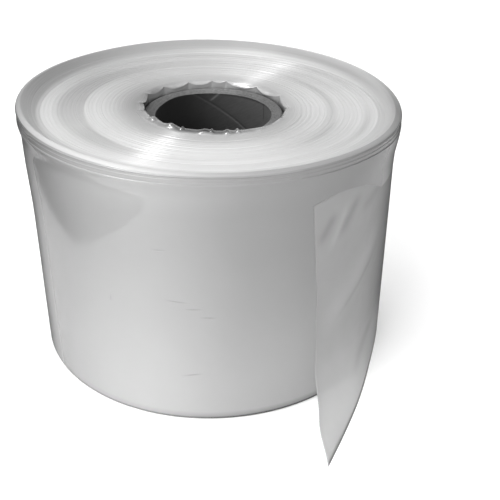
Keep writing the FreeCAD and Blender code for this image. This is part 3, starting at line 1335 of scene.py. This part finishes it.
@dataclass
class LooseEnd:
    """The last stretch of film: it lies on the roll, sags at its corner and peels away at the foot."""

    body_radius: float
    axis: tuple[float, float]
    film_width: float = 165.0 * MM
    thickness: float = 0.3 * MM
    clear: float = 0.12 * MM
    root_azimuth: float = 28.0
    root_depth: float = 0.9 * MM
    rows: int = 110
    columns: int = 190
    row_crowding: float = 0.9
    flat_area: float = 0.0
    flat_allowance: float = 1.05

    # The upper edge.
    top_height: float = 147.6 * MM
    corner_sag: float = 5.2 * MM
    hollow_sag: float = 3.5 * MM
    back_climb: float = 9.0 * MM

    # How the film peels away, and the line of its cut edge.
    peel_height: float = 95.0 * MM
    peel_azimuth_top: float = -61.5
    peel_azimuth_foot: float = -13.0
    reach: float = 54.6 * MM
    curl: float = 2.3
    lick: float = 0.085
    lick_power: float = 8.0
    cut_azimuth: float = -60.2
    cut_swing: float = 8.2
    cut_swing_power: float = 2.3
    slack: float = 1.0 * MM
    least_slack: float = 0.25 * MM
    deepest_fold: float = 1.0 * MM
    creases: tuple[Crease, ...] = (
        Crease(-59.6, 116.0 * MM, -54.6, 133.0 * MM, 3.2 * MM, -0.5 * MM, -0.17),
        Crease(-55.9, 110.0 * MM, -50.0, 137.0 * MM, 2.4 * MM, 0.4 * MM, 0.12),
        Crease(-52.2, 117.0 * MM, -44.6, 138.5 * MM, 3.4 * MM, -0.5 * MM, -0.18),
        Crease(-57.5, 55.0 * MM, -31.0, 104.0 * MM, 9.0 * MM, 0.7 * MM, 0.14),
        Crease(-51.0, 60.0 * MM, -33.0, 89.0 * MM, 2.0 * MM, 0.0, -0.16),
        Crease(-44.0, 126.0 * MM, -30.0, 138.0 * MM, 4.0 * MM, 0.0, -0.14),
        Crease(-46.0, 14.0 * MM, -28.0, 30.0 * MM, 4.5 * MM, 0.0, -0.22),
    )

    # Painted light and shade on the film, and how cloudy it is.
    tone: float = 0.85
    # Painted light at the foot, where the table shines through the film, and painted shade at the right and
    # higher up.
    foot_glow: float = 0.52
    foot_glow_power: float = 2.5
    right_shade: float = 0.38
    upper_shade: float = 0.12
    cover: float = 0.60
    foot_cover: float = 0.16
    right_cover: float = 0.20
    edge_columns: float = 0.9
    edge_rows: float = 0.7
    upper_rim: float = 0.25

    def top_line(self, azimuth: np.ndarray) -> np.ndarray:
        """Height of the film's upper edge: it sags to its corner and climbs away behind the roll.

        Args:
            azimuth: where along the edge, in degrees.

        Returns:
            The height at each azimuth.
        """
        corner = self.corner_sag * np.clip((-51.0 - azimuth) / 11.5, 0, 1) ** 1.3
        hollow = self.hollow_sag * hump(azimuth, -12, 16)
        return self.top_height - corner - hollow + self.back_climb * ease(azimuth, 0, 60)

    def peeled(self, height: np.ndarray) -> np.ndarray:
        """How far down the peeled stretch a height is, from 0 at its top to 1 at the foot."""
        return np.clip(1 - height / self.peel_height, 0, 1)

    def cut_line(self, height: np.ndarray) -> np.ndarray:
        """Azimuth of the cut edge at a height.

        Args:
            height: heights.

        Returns:
            The azimuth at each height, in degrees.
        """
        swing = self.cut_swing * self.peeled(height) ** self.cut_swing_power
        lean = 2.3 * np.clip((height - 85 * MM) / (55 * MM), 0, 1.2)
        bows = 0.8 * bell(height, 32 * MM, 14 * MM) + 0.9 * bell(height, 12 * MM, 8 * MM)
        return self.cut_azimuth - swing - lean - bows

    def folds(self, azimuth: np.ndarray, height: np.ndarray) -> tuple[np.ndarray, np.ndarray]:
        """The creases in the film.

        Args:
            azimuth: azimuth of each point.
            height: its height.

        Returns:
            How far the creases lift or sink each point, and the painted light and shade along them.
        """
        lift, shade = np.zeros_like(azimuth), np.zeros_like(azimuth)
        for crease in self.creases:
            run = np.radians(crease.head_azimuth - crease.foot_azimuth) * self.body_radius
            climb = crease.head_height - crease.foot_height
            length = math.hypot(run, climb)
            over = np.radians(azimuth - crease.foot_azimuth) * self.body_radius
            up = height - crease.foot_height
            along = (over * run + up * climb) / length ** 2
            aside = (over * climb - up * run) / length
            profile = plateau(along, (-0.15, 0.3), (0.7, 1.15)) * bell(aside, 0, crease.width)
            lift = lift + crease.lift * profile
            # Painted light and shade along the creases.
            shade = shade + crease.shade * profile
        return lift, shade

    def radius_at(self, azimuth: np.ndarray, height: np.ndarray) -> np.ndarray:
        """Distance of the film's middle from the film's axis.

        Args:
            azimuth: azimuth of each point.
            height: its height.

        Returns:
            The distance of each point.
        """
        peeled = self.peeled(height)
        root = self.peel_azimuth_top + (self.peel_azimuth_foot - self.peel_azimuth_top) * peeled
        gap = np.clip((root - azimuth) / np.maximum(root - self.cut_line(height), 1.0), 0, 1.1)
        swing = (1 - self.lick) * gap ** self.curl + self.lick * gap ** self.lick_power
        away = self.reach * (0.85 * peeled ** 3.3 + 0.15 * peeled ** 1.3) * swing
        lying = self.body_radius + self.clear + self.thickness / 2
        sunk = self.root_depth * ease(azimuth, self.root_azimuth - 12, self.root_azimuth)
        slack = self.slack * fall(azimuth, -52, -30) + self.least_slack
        return lying + away - sunk + slack + np.maximum(self.folds(azimuth, height)[0], -self.deepest_fold)

    def grid(self) -> tuple[np.ndarray, np.ndarray]:
        """The film's grid: one row a height, and one column a place along the film.

        Returns:
            The azimuth and the height of each point.
        """
        along = np.linspace(0, 1, self.columns)[None, :]
        share = (np.linspace(0, 1, self.rows) ** self.row_crowding)[:, None]
        cut = np.full((self.rows, 1), self.cut_azimuth)
        for _round in range(5):
            azimuth = self.root_azimuth + (cut - self.root_azimuth) * along
            height = share * self.top_line(azimuth)
            cut = self.cut_line(height)
        return azimuth, height

    def marks(self, azimuth: np.ndarray, height: np.ndarray) -> dict[str, np.ndarray]:
        """What the finish reads at each point.

        Args:
            azimuth: azimuth of each point.
            height: its height.

        Returns:
            By name: its painted light and shade, how much it covers, its edges, and where it ends unseen.
        """
        low = fall(height, 5 * MM, 75 * MM)
        # Painted shade at the right and higher up, and painted light towards the foot; the tone also takes
        # the creases' painted light and shade.
        right = self.right_shade * ease(azimuth, -44, -16) * ease(height, 12 * MM, 45 * MM)
        shade = (right + self.upper_shade * ease(height, 25 * MM, 90 * MM)) * fall(azimuth, -9, 9)
        glow = self.foot_glow * low ** self.foot_glow_power
        row = np.arange(self.rows)[:, None]
        cut = np.exp(-np.arange(self.columns)[::-1] / self.edge_columns)[None, :]
        edges = np.exp(-row / self.edge_rows) + np.exp(-row[::-1] / self.edge_rows)
        return {
            "tone": self.tone + glow - shade + self.folds(azimuth, height)[1],
            "cover": self.cover + self.foot_cover * low + self.right_cover * ease(azimuth, -50, -28),
            "rim": np.clip(cut + edges, 0, 1) * (self.upper_rim + (1 - self.upper_rim) * low),
            "fade": fall(azimuth, self.root_azimuth - 30, self.root_azimuth - 2),
        }

    def build(self) -> bpy.types.Object:
        """Builds the sheet with its real thickness, and marks its edges for the finish.

        Returns:
            The piece.
        """
        azimuth, height = self.grid()
        middle = self.radius_at(azimuth, height)
        half = self.thickness / 2
        layers = [polar_points(middle + out, azimuth, height).reshape(-1, 3) for out in (half, -half)]
        points = np.concatenate(layers) + np.array([*self.axis, 0.0])
        count = self.rows * self.columns
        outside = grid_faces(self.rows, self.columns, Closure.SHEET)
        faces = np.concatenate([outside[:, ::-1], outside + count, self.border(count)])
        piece = new_piece("loose_end", points, faces)
        for name, values in self.marks(azimuth, height).items():
            add_values(piece, name, np.tile(values.ravel(), 2))
        self.flat_area = self.area(polar_points(middle, azimuth, height))
        return piece

    def border(self, count: int) -> np.ndarray:
        """Faces that close the sheet's two sides round its edges.

        Args:
            count: number of points on each side.

        Returns:
            Four point numbers for each face.
        """
        index = np.arange(count).reshape(self.rows, self.columns)
        loop = np.concatenate([index[0, :-1], index[:-1, -1], index[-1, :0:-1], index[:0:-1, 0]])
        after = np.roll(loop, -1)
        return np.stack([loop, after, after + count, loop + count], axis=1)

    @staticmethod
    def area(points: np.ndarray) -> float:
        """Area of a grid of points in square metres.

        Args:
            points: rows of points.

        Returns:
            The area.
        """
        along = points[:-1, 1:] - points[:-1, :-1]
        up = points[1:, :-1] - points[:-1, :-1]
        return float(np.linalg.norm(np.cross(along, up), axis=-1).sum())

    def dress(self, piece: bpy.types.Object, effects: Effects) -> None:
        """Args:
            piece: the piece that build made.
            effects: the shared node groups.
        """
        add_finishes(piece, {0: LooseFilm()}, effects)
        piece.visible_shadow = False
        piece.visible_diffuse = False
        piece.visible_glossy = False
        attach(piece, ROOT)
        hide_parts("film_roll")


# ---- the core -----------------------------------------------------------------------------

class BoardFinish(IntEnum):
    """The finishes of the cardboard core, in the order of its material slots."""

    LINING = 0
    CUT_END = 1


@dataclass
class CoreTube:
    """The spiral-wound cardboard tube: seams between its plies and a rough, sloping end."""

    outer_radius: float
    length: float
    bore_radius: float = 38.1 * MM
    bevel: float = 0.5 * MM
    end_slope: float = 2.4 * MM
    worn_edge: float = 2.1 * MM
    torn_rise: float = 1.3 * MM
    ply_step: float = 0.14 * MM
    raggedness: float = 0.12 * MM
    seam_climb: float = 23.0 * MM
    seam_climb_degrees: float = 52.0
    seam_top_azimuth: float = 107.0
    seam_gap: float = 0.6 * MM
    seam_depth: float = 0.5 * MM
    ply_rise: float = 0.3 * MM
    segments: int = 360
    bore_rows: int = 150
    end_shares: tuple[float, ...] = (0.04, 0.12, 0.25, 0.36, 0.48, 0.6, 0.72, 0.84, 0.95)

    # The lining's painted light and shade: lit at one side and in shade at the other, shade in the seam
    # with a highlight below it, the rim's shadow and the shade of a split, and a lighter line on the torn
    # flap.
    lining_least: float = 0.09
    lining_more: float = 0.85
    seam_shade: float = 0.6
    seam_glint: float = 0.8
    seam_glint_drop: float = 1.2 * MM
    shadows: Patches = (
        Patch(0.75, 45, 38, falls=(0.6 * MM, 1.8 * MM)),
        Patch(0.8, 26.7, 0.7, falls=(9 * MM, 14 * MM)),
    )
    flap_azimuth: float = 86.5
    flap_light: float = 2.6

    # Painted light and shade on the cut end: lighter at the back, in shade at the left and right.
    painted_end_light: Patches = (Patch(0.58), Patch(0.12, 100, 35), Patch(-0.33, 178, 50), Patch(-0.18, 5, 50))
    end_slope_light: float = 0.25
    outside_tone: float = 0.2

    def __post_init__(self) -> None:
        """Works out what follows from the fields."""
        self.azimuths = np.arange(self.segments) * 360 / self.segments
        self.inner_top = self.length - self.end_slope

    def seam_distance(self, height: np.ndarray) -> np.ndarray:
        """How far each point of the bore is above the nearest turn of the seam, in metres.

        Args:
            height: height of each point, by azimuth.

        Returns:
            The distance, below 0 under the seam.
        """
        climb_per_degree = self.seam_climb / self.seam_climb_degrees
        seam = self.inner_top + (self.azimuths - self.seam_top_azimuth) * climb_per_degree
        pitch = 360 * climb_per_degree
        return (height - seam + pitch / 2) % pitch - pitch / 2

    def bore_profile(self, torn: np.ndarray) -> list[tuple[np.ndarray, np.ndarray]]:
        """Rows of the bore as (radius, height), from the foot up to the torn top.

        Args:
            torn: how far the torn top rises, by azimuth.

        Returns:
            The rows.
        """
        rows = []
        for share in np.linspace(0, 1, self.bore_rows) ** 0.5:
            height = share * (self.inner_top + torn)
            gap = self.seam_distance(height)
            groove = self.seam_depth * bell(gap, 0, self.seam_gap)
            ply = self.ply_rise * plateau(gap, (0, 0.5 * MM), (8 * MM, 20 * MM))
            rows.append((self.bore_radius + groove + ply, height))
        return rows

    def end_profile(self, torn: np.ndarray) -> list[tuple[np.ndarray, np.ndarray]]:
        """Rows of the cut end as (radius, height), from the bore out to the worn edge.

        Args:
            torn: how far the torn top rises, by azimuth.

        Returns:
            The rows.
        """
        fleck = wave(self.azimuths, 31, 0) * wave(self.azimuths, 7, 20) + 0.6 * wave(self.azimuths, 53, 9)
        ragged = self.raggedness * fleck
        rim = self.outer_radius - self.worn_edge * (0.15 + 0.85 * hump(self.azimuths, 40, 75))
        rows = []
        for share in self.end_shares:
            plies = self.ply_step * math.sin(share * 37)
            slope = self.inner_top + (torn + ragged) * (1 - share) + (self.end_slope - 0.3 * MM) * share
            rows.append((self.bore_radius + (rim - self.bore_radius) * share, slope + plies - 0.1 * MM))
        rows.append((0.5 * (rim + self.outer_radius), np.full(self.segments, self.length - 1.6 * MM)))
        return rows

    def outside_profile(self) -> list[tuple[np.ndarray, np.ndarray]]:
        """Rows of the outside and the foot as (radius, height), from the top down and in.

        Returns:
            The rows.
        """
        level = np.ones(self.segments)
        corners = (
            (self.outer_radius, self.length - 3.5 * MM),
            (self.outer_radius, self.length * 0.5),
            (self.outer_radius, self.bevel),
            (self.outer_radius - self.bevel, 0.0),
            (self.bore_radius + self.bevel, 0.0),
        )
        return [(level * radius, level * height) for radius, height in corners]

    def lining_painted_light(self, height: np.ndarray) -> np.ndarray:
        """The painted light and shade of the bore's lining.

        Args:
            height: height of each point, one row for each row of the bore.

        Returns:
            The tone of each point.
        """
        # Painted light and shade: lit at one side, shade in the seam, under the rim and in a split, and a
        # highlight below the seam.
        from_lit = np.abs(turn_from(self.azimuths, 15))
        tone = self.lining_least + self.lining_more * fall(from_lit, 15, 115)
        seam = self.seam_distance(height)
        groove = self.seam_shade * bell(seam, 0, self.seam_gap)
        glint = self.seam_glint * bell(seam, -self.seam_glint_drop, 0.5 * MM)
        below = self.inner_top - height
        shadow = np.clip(total(self.shadows, self.azimuths, below), 0, 0.9)
        tear = self.flap_azimuth + 1.7 * (below / MM - 1.5)
        flap = self.flap_light * bell(self.azimuths, tear, 1.6) * fall(below, 4 * MM, 6 * MM)
        return tone * (1 - groove + glint) * (1 - shadow + flap)

    def end_painted_light(self, radius: np.ndarray) -> np.ndarray:
        """The cut end's painted light and shade.

        Args:
            radius: distance of each point from the axis, one row for each row of the end.

        Returns:
            The tone of each point.
        """
        # Painted light at the back, and painted shade at the left and right.
        across = (radius - self.bore_radius) / (self.outer_radius - self.bore_radius)
        slope = self.end_slope_light * (across - 0.4) * hump(self.azimuths, 90, 50)
        return total(self.painted_end_light, self.azimuths) + slope

    def build(self) -> bpy.types.Object:
        """Builds the tube as one closed mesh.

        Returns:
            The piece.
        """
        torn = self.torn_rise * hump(self.azimuths, 130, 25)
        rows = self.bore_profile(torn) + self.end_profile(torn) + self.outside_profile()
        radius = np.array([row[0] for row in rows])
        height = np.array([row[1] for row in rows])
        points = polar_points(radius, self.azimuths, height).reshape(-1, 3)
        faces = grid_faces(len(rows), self.segments, Closure.TORUS)[:, ::-1]
        piece = new_piece("core_tube", points, faces)
        tone = np.full(radius.shape, self.outside_tone)
        bore_end = self.bore_rows
        cut_end = bore_end + len(self.end_shares)
        tone[:bore_end] = self.lining_painted_light(height[:bore_end])
        tone[bore_end:cut_end] = self.end_painted_light(radius[bore_end:cut_end])
        # The stored tone holds the painted light and shade of the lining and the cut end.
        add_values(piece, "tone", tone)
        numbers = np.full((len(rows), self.segments), int(BoardFinish.LINING))
        numbers[bore_end - 1:] = BoardFinish.CUT_END
        set_finishes(piece, numbers)
        return piece

    def dress(self, piece: bpy.types.Object, effects: Effects) -> None:
        """Gives the tube its board, puts it under the root body, and hides the CAD core.

        Args:
            piece: the piece that build made.
            effects: the shared node groups.
        """
        finishes = {
            # The lining's darker grey is partly the board's own and partly painted shade inside the bore.
            BoardFinish.LINING: GreyBoard("core_lining", tint=0.055, contrast=0.9),
            BoardFinish.CUT_END: GreyBoard("core_cut_end"),
        }
        add_finishes(piece, finishes, effects)
        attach(piece, ROOT)
        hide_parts("core")


# ---- studio -------------------------------------------------------------------------------

@dataclass(frozen=True)
class Softbox:
    """A rectangular studio light."""

    name: str
    place: Place
    aim: Place
    width: float
    height: float
    power: float
    lights_matte: bool = True

    def build(self) -> None:
        """Places the light. One that doesn't light matte surfaces shows only as glints."""
        data = bpy.data.lights.new(self.name, "AREA")
        data.shape = "RECTANGLE"
        data.size = self.width
        data.size_y = self.height
        data.energy = self.power
        lamp = bpy.data.objects.new(self.name, data)
        lamp.location = self.place
        lamp.visible_diffuse = self.lights_matte
        lamp.rotation_euler = (Vector(self.aim) - Vector(self.place)).to_track_quat("-Z", "Y").to_euler()
        bpy.context.scene.collection.objects.link(lamp)


@dataclass(frozen=True)
class Studio:
    """A pale table, soft lights and the camera."""

    table_edge_point: Place = (-0.260, -0.101, 0.0)
    table_edge_run: Place = (-0.2425, 0.970, 0.0)
    table_half_length: float = 6.0
    table_reach: float = 6.0
    table_steps: int = 12
    table_white: float = 0.94
    table_roughness: float = 0.8
    camera_place: Place = (-0.0018, -0.5186, 0.35716)
    camera_forward: Place = (0.04362945, 0.86019476, -0.50809591)
    camera_up: Place = (0.01964974, 0.50774295, 0.8612845)
    lens: float = 60.2
    sensor: float = 36.0
    nearest_seen: float = 10 * MM
    room_light: float = 0.08
    softboxes: tuple[Softbox, ...] = (
        Softbox("key", (-0.70, 0.40, 1.93), (0, 0, 0.1), 0.22, 0.22, 55.0, lights_matte=False),
        Softbox("ceiling", (0.0, 0.0, 2.6), (0, 0, 0.1), 3.0, 3.0, 68.0),
        Softbox("back_wall", (0.0, 2.6, 1.0), (0, 0, 0.5), 4.0, 2.0, 40.0),
        Softbox("left_window", (-1.40, -0.68, 1.85), (0, 0, 0.1), 0.6, 0.6, 24.0),
        Softbox("front_left", (-1.30, -1.70, 0.95), (0, 0, 0.1), 1.2, 1.0, 30.0),
        Softbox("front_right", (1.00, -1.50, 1.00), (0, 0, 0.1), 1.2, 1.0, 16.0),
    )

    def table(self) -> None:
        """Builds a pale table top, with one edge to the left of the view."""
        run = Vector(self.table_edge_run).normalized()
        inward = Vector((run.y, -run.x, 0))
        start = Vector(self.table_edge_point)
        side = self.table_steps + 1
        points = [
            start + run * along + inward * across
            for along in np.linspace(-self.table_half_length, self.table_half_length, side)
            for across in np.linspace(0, self.table_reach, side)
        ]
        top = new_piece("table_top", np.array(points), grid_faces(side, side, Closure.SHEET)[:, ::-1])
        material = bpy.data.materials.new("table_white")
        material.use_nodes = True
        shader = next(n for n in material.node_tree.nodes if n.type == "BSDF_PRINCIPLED")
        shader.inputs["Base Color"].default_value = (*[self.table_white] * 3, 1)
        shader.inputs["Roughness"].default_value = self.table_roughness
        top.data.materials.append(material)

    def camera(self) -> None:
        """Places the camera at the viewer's place."""
        data = bpy.data.cameras.new("camera")
        data.lens = self.lens
        data.sensor_width = self.sensor
        data.clip_start = self.nearest_seen
        camera = bpy.data.objects.new("camera", data)
        forward, up = Vector(self.camera_forward), Vector(self.camera_up)
        turned = Matrix((forward.cross(up), up, -forward)).transposed().to_4x4()
        camera.matrix_world = Matrix.Translation(self.camera_place) @ turned
        bpy.context.scene.collection.objects.link(camera)
        bpy.context.scene.camera = camera

    def room(self) -> None:
        """Lights the scene evenly from all round."""
        world = bpy.data.worlds.new("room")
        bpy.context.scene.world = world
        world.use_nodes = True
        background = next(n for n in world.node_tree.nodes if n.type == "BACKGROUND")
        background.inputs["Color"].default_value = (1, 1, 1, 1)
        background.inputs["Strength"].default_value = self.room_light

    def build(self) -> None:
        """Builds the whole studio."""
        self.table()
        self.room()
        for softbox in self.softboxes:
            softbox.build()
        self.camera()
        bpy.context.scene.view_settings.view_transform = "Standard"


# ---- the whole scene ----------------------------------------------------------------------


def make(part: CoreTube | FilmPack | LooseEnd, effects: Effects) -> None:
    """Builds and dresses a sub-assembly's piece, and logs its name and size.

    Args:
        part: the sub-assembly.
        effects: the shared node groups.
    """
    piece = part.build()
    part.dress(piece, effects)
    size = ", ".join(f"{side / MM:.1f}" for side in piece.dimensions)
    LOG.info("%s: %d faces, %s mm", piece.name, len(piece.data.polygons), size)


def main() -> None:
    """Builds the studio and every piece, and reports each."""
    logging.basicConfig(level=logging.INFO, format="%(name)s %(message)s")
    Studio().build()
    effects = Effects.build()
    roll_low, roll_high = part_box("film_roll")
    core_low, core_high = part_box("core")
    core = CoreTube(outer_radius=core_high.x, length=core_high.z - core_low.z)
    widest = FilmPack.axis[0] - roll_low.x
    pack = FilmPack(core_radius=core_high.x, core_height=core_high.z, widest_radius=widest, top=roll_high.z)
    loose = LooseEnd(body_radius=pack.body_radius, axis=pack.axis)
    for part in (core, pack, loose):
        make(part, effects)


if __name__ == "__main__":
    main()
